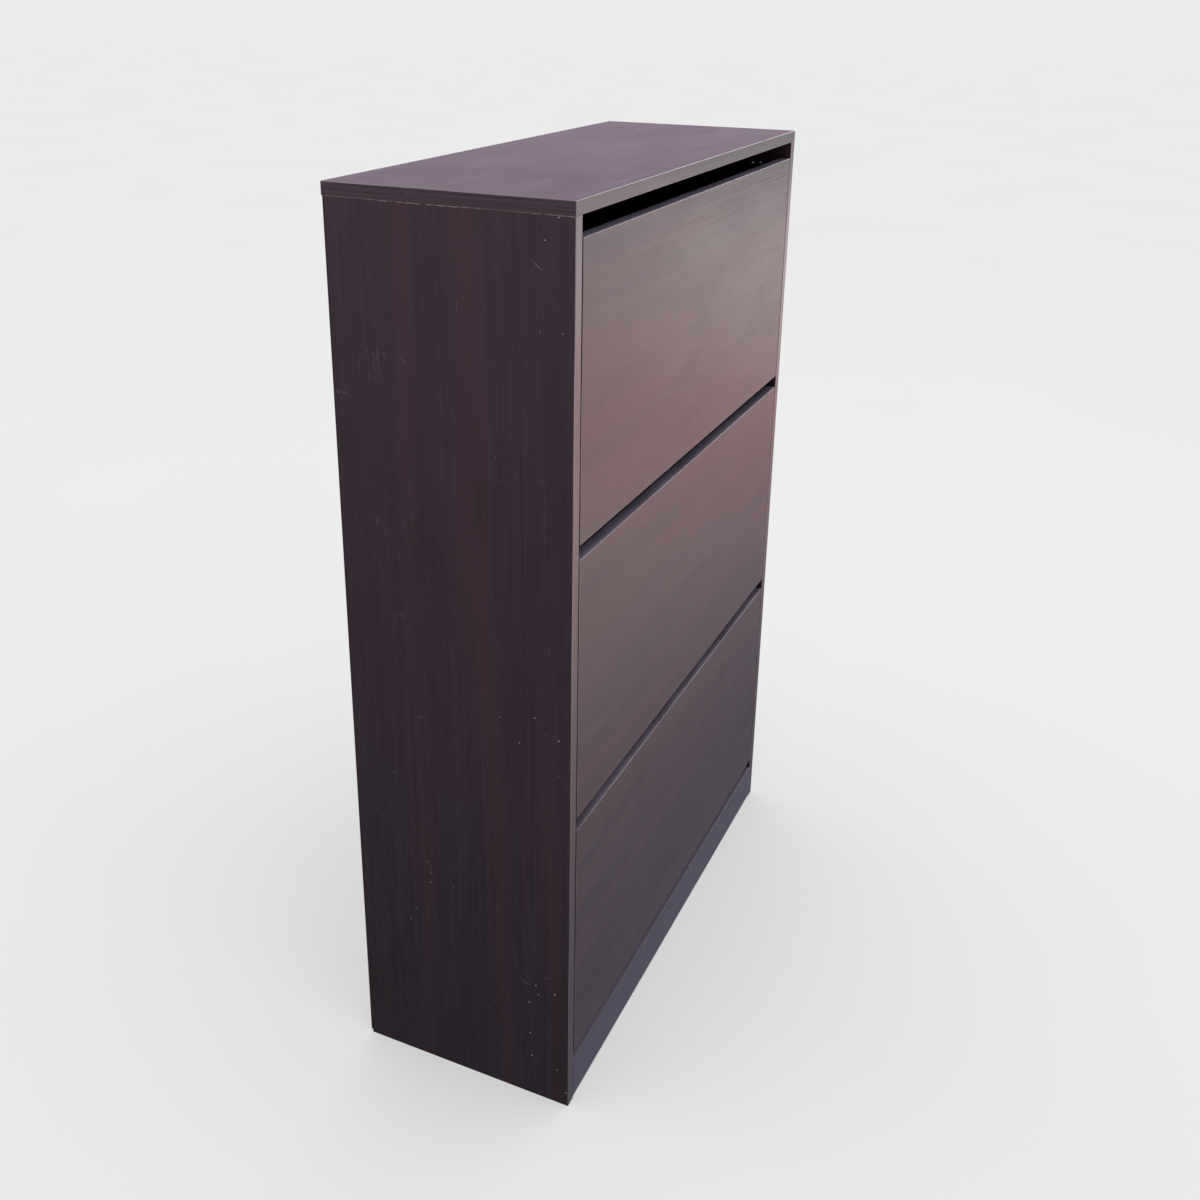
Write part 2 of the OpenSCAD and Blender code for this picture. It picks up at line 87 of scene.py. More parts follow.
# %% [markdown]
# ## Meshes from arrays
# A piece is a grid of points worked out with numpy. The grid's quads are found once for any number of rows
# and columns, and the doubles at its poles and corners are merged, so every piece is one closed skin. A
# weighted normal keeps the broad faces flat to the eye while the narrow rounds between them shade softly.
# Modifiers on a cube would also do, but a formula gives the exact section that each board has.


# %% Quads of a grid, and the mesh that holds them
def grid_quads(rows, columns, close_rows=False, close_columns=False):
    """Quads of a grid: the corner numbers row * columns + column of each cell, taken round the cell."""
    row = np.arange(rows if close_rows else rows - 1)[:, None]
    column = np.arange(columns if close_columns else columns - 1)[None, :]
    next_row = (row + 1) % rows
    next_column = (column + 1) % columns
    corners = [row * columns + column, row * columns + next_column,
               next_row * columns + next_column, next_row * columns + column]
    return np.stack(corners, -1).reshape(-1, 4).tolist()


def skin(name, points, faces, sharp=32):
    """One object at the origin: the points as they are, doubles merged, faces turned outwards."""
    mesh = bpy.data.meshes.new(name)
    mesh.from_pydata(np.asarray(points).reshape(-1, 3).tolist(), [], faces)
    shell = bmesh.new()
    shell.from_mesh(mesh)
    bmesh.ops.remove_doubles(shell, verts=shell.verts, dist=0.002 * MM)
    bmesh.ops.recalc_face_normals(shell, faces=shell.faces)
    shell.to_mesh(mesh)
    shell.free()
    mesh.shade_smooth()
    mesh.set_sharp_from_angle(angle=np.radians(sharp))
    piece = bpy.data.objects.new(name, mesh)
    bpy.context.scene.collection.objects.link(piece)
    even = piece.modifiers.new("even_faces", "WEIGHTED_NORMAL")
    even.keep_sharp = True
    return piece


def stand_in(piece, node, material):
    """The piece takes the place of a node of the frame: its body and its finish."""
    piece.data.materials.clear()
    piece.data.materials.append(material)
    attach(piece, frame["nodes"][node]["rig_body"])
    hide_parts(node)
    return piece


SLOTS = {row["node"]: row["material_slot"] for row in frame["record"]["subparts"]}
print("finishes in the record:", sorted(set(SLOTS.values())))

# %% [markdown]
# ## Materials
# A material is a short chain of nodes: coordinates, a pattern at its real size, a colour, a gloss, a relief.
# One function adds a node with its settings and links, and everything else is built from it. Patterns are
# sized in millimetres: a noise whose coordinates are divided by a length has features about that long.


# %% Colours and nodes
def colour(text):
    """sRGB hex to a shader's linear colour: the curved part above 0.04045, the straight part below."""
    value = np.array([int(text[i:i + 2], 16) for i in (1, 3, 5)]) / 255
    linear = np.where(value > 0.04045, ((value + 0.055) / 1.055) ** 2.4, value / 12.92)
    return (*linear.tolist(), 1.0)


def add(tree, kind, *inputs, out=None, **settings):
    """Adds a node. Inputs are values or sockets, in the order of its live inputs or in a dictionary by name.

    Settings are the node's own properties. Returns its first live output, or the one that out names, and
    through that output's .node the caller reaches the others.
    """
    node = tree.nodes.new(f"ShaderNode{kind}")
    for key, value in settings.items():
        setattr(node, key, value)
    live = [socket for socket in node.inputs if socket.enabled]
    by_name = bool(inputs) and isinstance(inputs[0], dict)
    for key, value in inputs[0].items() if by_name else enumerate(inputs):
        socket = node.inputs[key] if by_name else live[key]
        if isinstance(value, bpy.types.NodeSocket):
            tree.links.new(value, socket)
        else:
            socket.default_value = value
    if out is not None:
        return node.outputs[out]
    return next((socket for socket in node.outputs if socket.enabled), None)


PLUS = {"operation": "ADD"}
MINUS = {"operation": "SUBTRACT"}
TIMES = {"operation": "MULTIPLY"}
UNDER = {"operation": "LESS_THAN"}
LARGER = {"operation": "MAXIMUM"}
SMOOTH = {"interpolation_type": "SMOOTHSTEP"}
COLOURS = {"data_type": "RGBA"}
print("mid grey is", round(colour("#808080")[0], 4))


# %% A surface, and a pattern at its real size
def new_material(name, **surface):
    """A material with one Principled surface: returns it, its tree and its surface's node."""
    material = bpy.data.materials.new(name)
    material.use_nodes = True
    tree = material.node_tree
    tree.nodes.clear()
    shader = add(tree, "BsdfPrincipled", {key.replace("_", " "): value for key, value in surface.items()})
    add(tree, "OutputMaterial", shader)
    return material, tree, shader.node


def finished(tree, shader, ground, gloss, relief, strength, height):
    """Links colour and roughness, and a relief whose height is in metres."""
    bump = add(tree, "Bump", {"Height": relief, "Strength": strength, "Distance": height})
    for socket, value in (("Base Color", ground), ("Roughness", gloss), ("Normal", bump)):
        tree.links.new(value, shader.inputs[socket])


def pattern(tree, place, size, detail=3.0, rough=0.5, shift=(0.0, 0.0, 0.0), swirl=0.0):
    """Noise whose features are size = (x, y, z) millimetres long: the place is divided by those lengths."""
    scale = [1 / (length * MM) for length in size]
    spread = add(tree, "Mapping", {"Vector": place, "Location": shift, "Scale": scale})
    return add(tree, "TexNoise", {"Vector": spread, "Scale": 1.0, "Detail": detail, "Roughness": rough,
                                  "Distortion": swirl}, out="Fac")


def object_space(tree):
    """Two sockets: the place on the piece, and the way its surface faces."""
    place = add(tree, "TexCoord", out="Object")
    return place, place.node.outputs["Normal"]


print("a 1 mm pattern has a scale of", round(1 / MM), "to the metre")

# %% [markdown]
# ## Melamine laminate on chipboard
# The boards are chipboard under a printed wenge paper soaked in melamine resin and pressed hard. The print
# is a near-black plum brown with fine straight streaks along the grain, slow reddish bands, and here and
# there a tall arch of figure. A picture could be wrapped round each board instead, but a pattern worked out
# in space runs through corners and cut faces with no seam.


# %% The wenge print
# Each print has four inks: the dark and the light streaks, the warm bands, and the pores.
PLUM = ("#211a1e", "#2c242a", "#372329", "#1a1417")
SHEEN_PLUM = ("#1c161a", "#362c32", "#43272c", "#171216")
# The plinth's inks are bluer than the rest: part of that blue is a painted reflection of the sky.
SLATE_WITH_PAINTED_SKY = ("#2d2e3d", "#444658", "#423f51", "#252634")


def along_grain(grain, across, along):
    """Feature lengths in millimetres for the three axes, long along the grain."""
    return [along if axis == grain else across for axis in (X, Y, Z)]


def wenge_print(tree, place, grain, shift, tones):
    """Streaks between two browns, then reddish bands, dark clouds and pores. Returns colour and streaks.

    Real streaks are under 1 mm wide. These start 5 mm wide, so that they show from two metres away.
    """
    dark, light, warm, pore = (colour(shade) for shade in tones)
    streaks = pattern(tree, place, along_grain(grain, 5, 300), 4.0, 0.72, shift)
    bands = pattern(tree, place, along_grain(grain, 38, 900), 2.0, 0.5, shift)
    clouds = pattern(tree, place, along_grain(grain, 55, 170), 3.0, 0.55, shift)
    pores = pattern(tree, place, along_grain(grain, 1.6, 40), 2.0, 0.5, shift)
    arch = pattern(tree, place, along_grain(grain, 95, 420), 0.0, 0.5, shift)
    rings = add(tree, "Math", add(tree, "Math", arch, 95.0, **TIMES), operation="SINE")
    figure = add(tree, "MapRange", rings, 0.35, 1.0, 0.0, 0.2, **SMOOTH)
    tone = add(tree, "Math", add(tree, "MapRange", streaks, 0.3, 0.7), figure, **PLUS)
    ground = add(tree, "Mix", tone, dark, light, **COLOURS)
    layers = ((bands, 0.42, 0.68, 0.5, warm), (clouds, 0.5, 0.75, 0.3, pore), (pores, 0.6, 0.72, 0.4, pore))
    for layer, low, high, most, ink in layers:
        share = add(tree, "MapRange", layer, low, high, 0.0, most, **SMOOTH)
        ground = add(tree, "Mix", share, ground, ink, **COLOURS)
    return ground, streaks


print("print colours:", PLUM, SLATE_WITH_PAINTED_SKY)


# %% [markdown]
# ## Marks of use
# Years of hands and moves leave pale specks, fine scratches and a film of dust on a dark glossy board. The
# film on what faces up is also a painted sheen: a pale mauve for the sky light that those faces catch. They
# could be painted into a picture by hand. Here each is a pattern cut off at a threshold, so that it keeps a
# real size, covers every board and is made stronger or weaker by one number.

# %% Specks, dust with a painted sheen, and scratches
SPECK_SPACING = 16 * MM
# Each kind of scratch: its turn in radians, its length and the length of its dots, both in millimetres.
SCRATCHES = ((0.9, 26, 30), (-1.35, 90, 4), (0.06, 260, 9))


def specked(tree, place, ground, shift, strength):
    """Pale specks: a spot round each point of a loose scatter, up to 2 mm across where dust gathers."""
    spots = add(tree, "TexVoronoi", {"Vector": place, "Scale": 1 / SPECK_SPACING}, out="Distance")
    dusty = pattern(tree, place, (260, 260, 260), 1.0, 0.5, shift)
    reach = add(tree, "MapRange", dusty, 0.5, 0.7, 0.0, 0.065)
    speck = add(tree, "Math", add(tree, "Math", spots, reach, **UNDER), strength, **TIMES)
    return add(tree, "Mix", speck, ground, colour("#bdb4b2"), **COLOURS)


def dust_and_painted_sheen(tree, facing, ground, share):
    """Dust and painted sky sheen where the surface looks up: none at 37 degrees off level, all of its share
    at 11.
    """
    upward = add(tree, "MapRange", add(tree, "SeparateXYZ", facing, out="Z"), 0.8, 0.98, **SMOOTH)
    # Painted sheen: the mauve is partly dust and partly the sky light on faces that look up.
    return add(tree, "Mix", add(tree, "Math", upward, share, **TIMES), ground, colour("#756e80"), **COLOURS)


def scratched(tree, place, ground, grain, face, shift):
    """Scratches: thin crests of a noise turned in the board's plane, kept in patches, broken into dots."""
    for turn, length, dots in SCRATCHES:
        swing = [turn if axis == face else 0.0 for axis in (X, Y, Z)]
        turned_place = add(tree, "Mapping", {"Vector": place, "Location": shift, "Rotation": swing})
        crests = pattern(tree, turned_place, along_grain(grain, 0.8, length), 0.0, 0.5, shift)
        patches = pattern(tree, place, (75, 75, 75), 1.0, 0.5, (turn, *shift[:2]))
        gaps = pattern(tree, turned_place, (dots, dots, dots), 1.0)
        scratch = add(tree, "Math", add(tree, "MapRange", crests, 0.79, 0.84),
                      add(tree, "MapRange", patches, 0.60, 0.65), **TIMES)
        scratch = add(tree, "Math", scratch, add(tree, "MapRange", gaps, 0.5, 0.6, 0.0, 0.6), **TIMES)
        ground = add(tree, "Mix", scratch, ground, colour("#93888c"), **COLOURS)
    return ground


print("kinds of scratch:", len(SCRATCHES))


# %% [markdown]
# ## Chips
# A saw tears the brittle print along a board's edge, and a cut through the board shows the chips that it is
# pressed from. Both could be modelled, but the nibbles are 1 mm deep and the chips 2 mm across, so a colour
# and a relief are enough. Which faces are cut is read from the way that they point.

# %% Chipped seam and raw chips
CHIP = 2.2 * MM


def chipped_seam(tree, place, ground, shift, top_edge):
    """A nibbled pale line up to 1.1 mm deep along a board's upper edge, where the saw chipped the print."""
    height = add(tree, "SeparateXYZ", place, out="Z")
    nibbles = pattern(tree, place, (9, 9, 9), 3.0, 0.7, shift)
    patches = pattern(tree, place, (90, 90, 90), 2.0, 0.6, shift)
    depth = add(tree, "Math", add(tree, "MapRange", nibbles, 0.36, 0.62),
                add(tree, "MapRange", patches, 0.40, 0.58, 0.2 * MM, 1.1 * MM), **TIMES)
    below = add(tree, "Math", top_edge, height, **MINUS)
    chipped = add(tree, "Math", add(tree, "Math", below, depth, **UNDER), 0.7, **TIMES)
    return add(tree, "Mix", chipped, ground, colour("#93807e"), **COLOURS)


def raw_chips(tree, place, facing, face):
    """Sawn chipboard, one cell a chip, in three browns: where a face is cut, its colour, its relief."""
    cells = add(tree, "TexVoronoi", {"Vector": place, "Scale": 1 / CHIP}, out="Color")
    shade = add(tree, "MapRange", cells, 0.2, 0.9)
    wood = add(tree, "Mix", shade, colour("#7b6044"), colour("#b5966c"), **COLOURS)
    dust = add(tree, "MapRange", pattern(tree, place, (0.8, 0.8, 0.8)), 0.5, 0.75, 0.0, 0.6)
    wood = add(tree, "Mix", dust, wood, colour("#4f3a27"), **COLOURS)
    through = add(tree, "Math", add(tree, "SeparateXYZ", facing, out="XYZ"[face]), operation="ABSOLUTE")
    cut = add(tree, "Math", through, 0.7, **UNDER)
    return cut, wood, cells.node.outputs["Distance"]


print("chip size:", round(CHIP / MM, 1), "mm")


# %% [markdown]
# ## The laminates
# Print, marks and chips are put together into one laminate for each way that the grain and the board's face
# can lie. The resin skin is smooth and half glossy, with slow smears, so roughness stays near 0.3 and the
# press plate's lines only bend the sheen. One material with a turned pattern could serve all the boards, but
# separate ones let each board have its own streaks.

# %% One laminate for each way that the grain can run
def laminate(name, grain, face, seed, tones=PLUM, top_edge=None, raw=True, dust=0.0, depth=0.35, brushed=1):
    """Melamine laminate: grain and face are the axes along the streaks and through the board.

    The seed shifts every pattern. A top edge is the height of a chipped seam, raw shows chips where a face
    is cut, dust is the share of dust and painted sky sheen on what faces up, depth is the relief's, and
    brushed weighs the press lines.
    """
    material, tree, shader = new_material(
        name, Specular_IOR_Level=0.42, Specular_Tint=colour("#ffe3ee"), IOR=1.5)
    place, facing = object_space(tree)
    shift = (seed * 1.37, seed * 2.11, seed * 0.73)
    ground, streaks = wenge_print(tree, place, grain, shift, tones)
    ground = specked(tree, place, ground, shift, 0.55)
    ground = scratched(tree, place, ground, grain, face, shift)
    if top_edge is not None:
        ground = chipped_seam(tree, place, ground, shift, top_edge)
    # Dust, with a painted pale sheen of the sky, on what faces up.
    if dust:
        ground = dust_and_painted_sheen(tree, facing, ground, dust)
    smears = pattern(tree, place, along_grain(grain, 60, 190), 3.0, 0.55, shift, 0.6)
    gloss = add(tree, "Math", add(tree, "MapRange", smears, 0.35, 0.7, 0.27, 0.31),
                add(tree, "MapRange", streaks, 0.3, 0.7, 0.0, 0.05), **PLUS)
    # The press plate's lines are 4 mm apart here, so that the sheen breaks up along them in the render.
    lines = pattern(tree, place, along_grain(grain, 4, 420), 1.0, 0.5, shift)
    relief = add(tree, "Math", streaks, add(tree, "Math", lines, brushed, **TIMES), **PLUS)
    if raw:
        cut, wood, chips = raw_chips(tree, place, facing, face)
        ground = add(tree, "Mix", cut, ground, wood, **COLOURS)
        gloss = add(tree, "Math", gloss, add(tree, "Math", cut, 0.85, **TIMES), **LARGER)
        chips = add(tree, "Math", add(tree, "Math", cut, chips, **TIMES), 6.0, **TIMES)
        relief = add(tree, "Math", relief, chips, **PLUS)
    finished(tree, shader, ground, gloss, relief, depth, 0.05 * MM)
    return material


side_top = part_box("left_side_panel")[1].z
LAMINATES = {
    "left_side_panel": laminate("melamine_laminate_left_side", Z, X, 1, top_edge=side_top),
    "right_side_panel": laminate("melamine_laminate_right_side", Z, X, 2, top_edge=side_top),
    "top_panel": laminate("melamine_laminate_top", X, Z, 3),
    "bottom_panel": laminate("melamine_laminate_bottom", X, Z, 4),
    "rear_top_rail": laminate("melamine_laminate_rails", X, Y, 5),
    # The plinth: its print's blue is partly a painted sky reflection, and its top takes dust with a painted
    # sky sheen.
    "plinth": laminate("melamine_laminate_plinth", X, Y, 6, tones=SLATE_WITH_PAINTED_SKY, raw=False, dust=0.8),
}
LAMINATES["rear_middle_rail"] = LAMINATES["rear_top_rail"]
for number, flap in enumerate(FLAPS):
    LAMINATES[f"{flap}_door_panel"] = laminate(
        f"melamine_laminate_{flap}_door", X, Y, 7 + number, tones=SHEEN_PLUM, depth=0.85, brushed=5)
shelf_board = laminate("melamine_laminate_shelves", X, Z, 10, raw=False, depth=0.2)
print("laminates:", len({material.name for material in LAMINATES.values()}) + 1)

# %% [markdown]
# ## Edging
# The cut edges are banded with ABS strip, extruded in the print's colours and scraped flush, so it has a
# fine run of lines along it and no figure. It is pale where the arris turns: wear from scraping, and a
# painted highlight where the round catches the light. The pale arris could be a strip of its own. It is
# found instead where a face points between two axes, which only a round does.


# %% ABS edging
# Depths from the front of a door's upper edge: painted fully pale nearer than the first, not at all beyond
# the second, for wear and a painted sheen.
ALL_PALE_DEPTH, NOT_PALE_DEPTH = 2.5 * MM, 5 * MM


def edging(name, across, level):
    """ABS edging: lines 1.4 mm apart across the strip, knocks, a pale arris, dust and painted sheen facing
    up.

    The pale arris is wear from scraping and a painted highlight. Fingers open a door by its upper edge,
    and the front of that edge is painted as pale as the arris: wear from rubbing and a painted sheen. The
    level is how strongly the strip mirrors.
    """
    material, tree, shader = new_material(
        name, Specular_IOR_Level=level, Specular_Tint=colour("#ffe6f0"), IOR=1.52)
    place, facing = object_space(tree)
    lines = pattern(tree, place, [1.4 if axis == across else 260 for axis in (X, Y, Z)], 3.0, 0.6)
    mottle = pattern(tree, place, (150, 150, 150), 3.0)
    ground = add(tree, "Mix", add(tree, "MapRange", lines, 0.35, 0.65), colour("#1b1518"), colour("#382c32"),
                 **COLOURS)
    knocks = pattern(tree, place, (6, 6, 6), 3.0, 0.6, (3.1, 0.4, 1.7))
    ground = add(tree, "Mix", add(tree, "MapRange", knocks, 0.71, 0.77, 0.0, 0.5), ground, colour("#8f8587"),
                 **COLOURS)
    unsigned = add(tree, "VectorMath", facing, operation="ABSOLUTE")
    ways = add(tree, "SeparateXYZ", unsigned, out="X").node.outputs
    widest = add(tree, "Math", add(tree, "Math", ways["X"], ways["Y"], **LARGER), ways["Z"], **LARGER)
    # The arris is painted pale: wear from scraping, and a painted highlight where the round catches the
    # light.
    scraped_and_highlit = add(tree, "MapRange", widest, 0.985, 0.86, **SMOOTH)
    if across == Y:
        # The front of a door's upper edge, where it faces up, is painted as pale as the arris: wear and a
        # painted sheen.
        depth = add(tree, "Math", add(tree, "SeparateXYZ", place, out="Y"), cad_box[0][Y], **MINUS)
        rubbed_and_sheen = add(tree, "MapRange", depth, NOT_PALE_DEPTH, ALL_PALE_DEPTH)
        upward = add(tree, "MapRange", add(tree, "SeparateXYZ", facing, out="Z"), 0.2, 0.6)
        scraped_and_highlit = add(tree, "Math", scraped_and_highlit, add(tree, "Math", rubbed_and_sheen, upward, **TIMES), **LARGER)
    worn_and_highlit = add(tree, "Math", scraped_and_highlit, add(tree, "MapRange", mottle, 0.36, 0.6, 0.2, 0.9), **TIMES)
    ground = add(tree, "Mix", worn_and_highlit, ground, colour("#8a8185"), **COLOURS)
    # Dust, with a painted sheen of the sky, on what faces up.
    ground = dust_and_painted_sheen(tree, facing, ground, add(tree, "MapRange", mottle, 0.3, 0.7, 0.5, 0.95))
    gloss = add(tree, "MapRange", mottle, 0.3, 0.7, 0.24, 0.32)
    finished(tree, shader, ground, gloss, lines, 0.25, 0.03 * MM)
    return material


door_edging = edging("abs_edging_doors", Y, 0.5)
side_edging = edging("abs_edging_sides", X, 0.85)
top_edging = edging("abs_edging_top", Z, 0.5)
print("edging:", door_edging.name, side_edging.name, top_edging.name)


# %% [markdown]
# ## Plastic and metal fittings
# The brackets, blocks and catches are injection-moulded black plastic, matt from the mould's spark-eroded
# skin. Screws, pins and plates are steel with a bright zinc plating, and the cams are cast zinc, which is
# duller. A metal has no colour but what it mirrors, so it is fully metallic and keeps the default IOR, and
# cloudy roughness tells plated from cast.

# %% Moulded plastic, plated steel, cast zinc
def moulded_plastic():
    """Black polypropylene: near black, a 0.4 mm spark-eroded grain, slightly uneven sheen."""
    material, tree, shader = new_material("moulded_polypropylene_black", IOR=1.49)
    place, _ = object_space(tree)
    grain = pattern(tree, place, (0.4, 0.4, 0.4), 2.0)
    flow = pattern(tree, place, (35, 35, 35), 3.0, swirl=0.8)
    ground = add(tree, "Mix", add(tree, "MapRange", flow, 0.3, 0.7), colour("#121213"), colour("#1f1f21"),
                 **COLOURS)
    finished(tree, shader, ground, add(tree, "MapRange", flow, 0.3, 0.7, 0.38, 0.52), grain, 0.5, 0.03 * MM)
    return material


def plated_metal(name, bright, dull, low, high):
    """Plated or cast metal: cloudy plating 6 mm across over a 0.3 mm tumbled grain."""
    material, tree, shader = new_material(name, Metallic=1.0)
    place, _ = object_space(tree)
    clouds = pattern(tree, place, (6, 6, 6), 4.0, 0.6)
    grain = pattern(tree, place, (0.3, 0.3, 0.3), 2.0)
    dulled = add(tree, "MapRange", clouds, 0.35, 0.7)
    ground = add(tree, "Mix", dulled, colour(bright), colour(dull), **COLOURS)
    finished(tree, shader, ground, add(tree, "MapRange", dulled, 0, 1, low, high), grain, 0.4, 0.02 * MM)
    return material


black_plastic = moulded_plastic()
zinc_plated_steel = plated_metal("zinc_plated_steel", "#c9ccd1", "#a3a49f", 0.22, 0.38)
cast_zinc = plated_metal("die_cast_zinc", "#a9abb0", "#85878c", 0.40, 0.55)
print("metals:", zinc_plated_steel.name, cast_zinc.name)


# %% [markdown]
# ## Hardboard
# The back is wood fibre pressed hot on a wire screen, which leaves its weave on the rear, and painted to
# match the boards in front. The weave could be geometry, but it is 1.6 mm a wire over a square metre, so it
# is a relief worked out from two sines.

# %% Hardboard
def hardboard():
    """Brown pressed fibre, stained in clouds, painted dark in front, with a wire screen's weave behind.

    The weave is the product of two sines, one along X and one along Z, 1.6 mm a wire.
    """
    material, tree, shader = new_material("hardboard_screen_backed", Specular_IOR_Level=0.25, IOR=1.5)
    place, facing = object_space(tree)
    axes = add(tree, "SeparateXYZ", place, out="X").node.outputs
    turn = 2 * np.pi / (1.6 * MM)
    turns = [add(tree, "Math", axes[axis], turn, **TIMES) for axis in "XZ"]
    wires = [add(tree, "Math", angle, operation="SINE") for angle in turns]
    weave = add(tree, "Math", *wires, **TIMES)
    rear = add(tree, "Math", add(tree, "SeparateXYZ", facing, out="Y"), 0.5, operation="GREATER_THAN")
    fibre = pattern(tree, place, (3, 3, 3), 4.0, 0.65)
    stain = pattern(tree, place, (160, 160, 220), 3.0, 0.55)
    ground = add(tree, "Mix", add(tree, "MapRange", fibre, 0.3, 0.7), colour("#4b3628"), colour("#6d5240"),
                 **COLOURS)
    ground = add(tree, "Mix", add(tree, "MapRange", stain, 0.45, 0.75, 0.0, 0.45), ground, colour("#3d2c22"),
                 **COLOURS)
    painted = add(tree, "MapRange", rear, 0.0, 1.0, 0.85, 0.0)
    ground = add(tree, "Mix", painted, ground, colour("#1f1517"), **COLOURS)
    pressed = add(tree, "Math", add(tree, "Math", weave, rear, **TIMES), 0.5, **TIMES)
    relief = add(tree, "Math", pressed, fibre, **PLUS)
    gloss = add(tree, "MapRange", fibre, 0.3, 0.7, 0.55, 0.75)
    finished(tree, shader, ground, gloss, relief, 0.6, 0.12 * MM)
    return material


screen_backed = hardboard()
print("back:", screen_backed.name)


# %% [markdown]
# ## Beech
# The dowels are turned beech, pale with short dark flecks along the grain, and they swell into their holes.
# They are hidden when the cabinet stands together, so one plain pattern, stretched along Z, will do.

# %% Beech
def beech():
    """Turned beech dowel: pale pinkish brown with short dark flecks and a fine long grain."""
    material, tree, shader = new_material("beech_dowel", Specular_IOR_Level=0.3)
    place, _ = object_space(tree)
    grain = pattern(tree, place, (0.6, 0.6, 9), 4.0)
    flecks = add(tree, "MapRange", pattern(tree, place, (0.4, 0.4, 2.5), 1.0), 0.62, 0.7, 0.0, 0.6)
    ground = add(tree, "Mix", add(tree, "MapRange", grain, 0.3, 0.7), colour("#c19a6b"), colour("#d8b98c"),
                 **COLOURS)
    ground = add(tree, "Mix", flecks, ground, colour("#8a5f38"), **COLOURS)
    finished(tree, shader, ground, add(tree, "MapRange", grain, 0.3, 0.7, 0.5, 0.65), grain, 0.4, 0.1 * MM)
    return material


turned_beech = beech()
print("dowels:", turned_beech.name)

# %% [markdown]
# ## Finishes on the frame's own nodes
# The boards with drilled holes, the pins, bolts, cams and dowels keep the frame's shapes. Each takes the
# finish that its slot in the record names.

# %% Finishes by slot
BY_SLOT = {"laminate": None, "edging": door_edging, "shelf_board": shelf_board, "hardboard": screen_backed,
           "black_plastic": black_plastic, "zinc_plated_steel": zinc_plated_steel, "cast_zinc": cast_zinc,
           "beech": turned_beech}
for name, node in frame["nodes"].items():
    node.data.materials.clear()
    node.data.materials.append(BY_SLOT[SLOTS[name]] or LAMINATES[name])
print("nodes with a finish:", len(SLOTS))

# %% [markdown]
# ## Rounded boards
# A melamine board's arris is eased, or it chips. A board with eased edges is a ball pulled apart at its
# middle in all three directions: every point is a corner of a smaller box plus the radius times its own
# direction. A bevel modifier would do the same by search; the formula needs none. The plinth and the thin
# shelves of the flaps are made this way.


# %% A board with eased edges
def rounded_board(low, high, r, steps=4):
    """Corner of the box drawn in by r, plus r (cos v cos u, cos v sin u, sin v) in quarter turns."""
    quarter = np.linspace(0, np.pi / 2, steps + 1)
    u = (np.arange(4)[:, None] * np.pi / 2 + quarter).ravel()
    v = np.concatenate([quarter - np.pi / 2, quarter])
    sign_x = np.repeat([1, -1, -1, 1], steps + 1)
    sign_y = np.repeat([1, 1, -1, -1], steps + 1)
    sign_z = np.repeat([-1, 1], steps + 1)
    low, high = np.array(low), np.array(high)
    middle, half = (low + high) / 2, (high - low) / 2 - r
    points = np.empty((len(v), len(u), 3))
    points[..., 0] = middle[0] + sign_x * half[0] + r * np.cos(v)[:, None] * np.cos(u)
    points[..., 1] = middle[1] + sign_y * half[1] + r * np.cos(v)[:, None] * np.sin(u)
    points[..., 2] = middle[2] + (sign_z * half[2] + r * np.sin(v))[:, None]
    faces = grid_quads(len(v), len(u), close_columns=True)
    floor_cap = [corner * (steps + 1) for corner in range(4)]
    roof_cap = [(len(v) - 1) * len(u) + corner for corner in floor_cap]
    return points, faces + [floor_cap[::-1], roof_cap]


eased = 0.8 * MM
stand_in(skin("plinth_board", *rounded_board(*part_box("plinth"), 1.2 * MM)), "plinth", LAMINATES["plinth"])
for flap in FLAPS:
    for part in ("front_shelf", "divider", "rear_shelf", "rear_board"):
        node = f"{flap}_{part}"
        stand_in(skin(f"{node}_panel", *rounded_board(*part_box(node), eased)), node, shelf_board)
print("rounded boards:", 1 + 4 * len(FLAPS), "with", round(eased / MM, 2), "mm arrises")

# %% [markdown]
# ## Edge bands
# A band is a strip 1 mm thick with its two outer arrises scraped round. Its section is carried along the
# edge of the board: straight down a side panel, round three edges of the top, and right round a door. A
# curve with a bevel could carry it too, but the arrays keep each corner's own radius.


# %% A section carried along a path
def band_section(width, t, r, steps=4):
    """Section of the strip, as outward offset and place across: two quarter rounds and a flat back."""
    turn = np.linspace(0, np.pi / 2, steps + 1)
    offset = np.concatenate([[r - t], r * np.sin(turn), r * np.cos(turn), [r - t]])
    across = np.concatenate([[0], r - r * np.cos(turn), width - r + r * np.sin(turn), [width]])
    return offset, across


def carried(section, centres, outs, across_axis, start, closed):
    """Path point, plus its outward direction times the offset, plus the across axis times the place."""
    offset, across = section
    points = centres[:, None, :] + outs[:, None, :] * offset[None, :, None]
    points[..., across_axis] = start + across[None, :]
    rows, columns = points.shape[:2]
    faces = grid_quads(rows, columns, close_rows=closed, close_columns=True)
    if not closed:
        faces += [list(range(columns))[::-1], [(rows - 1) * columns + i for i in range(columns)]]
    return points, faces


def corner_path(low, high, axes, r, quarters, steps=4):
    """Path round a rectangle, drawn in by r: at each corner the outward direction turns a quarter."""
    turn = np.linspace(0, np.pi / 2, steps + 1)
    angle = (np.array(quarters)[:, None] * np.pi / 2 + turn).ravel()
    right = np.repeat([q in (0, 3) for q in quarters], steps + 1)
    upper = np.repeat([q in (0, 1) for q in quarters], steps + 1)
    a, b = axes
    centres = np.zeros((len(angle), 3))
    outs = np.zeros((len(angle), 3))
    centres[:, a] = np.where(right, high[a] - r, low[a] + r)
    centres[:, b] = np.where(upper, high[b] - r, low[b] + r)
    outs[:, a] = np.cos(angle)
    outs[:, b] = np.sin(angle)
    return centres, outs


print("a band's section has", len(band_section(16 * MM, MM, eased)[0]), "points")

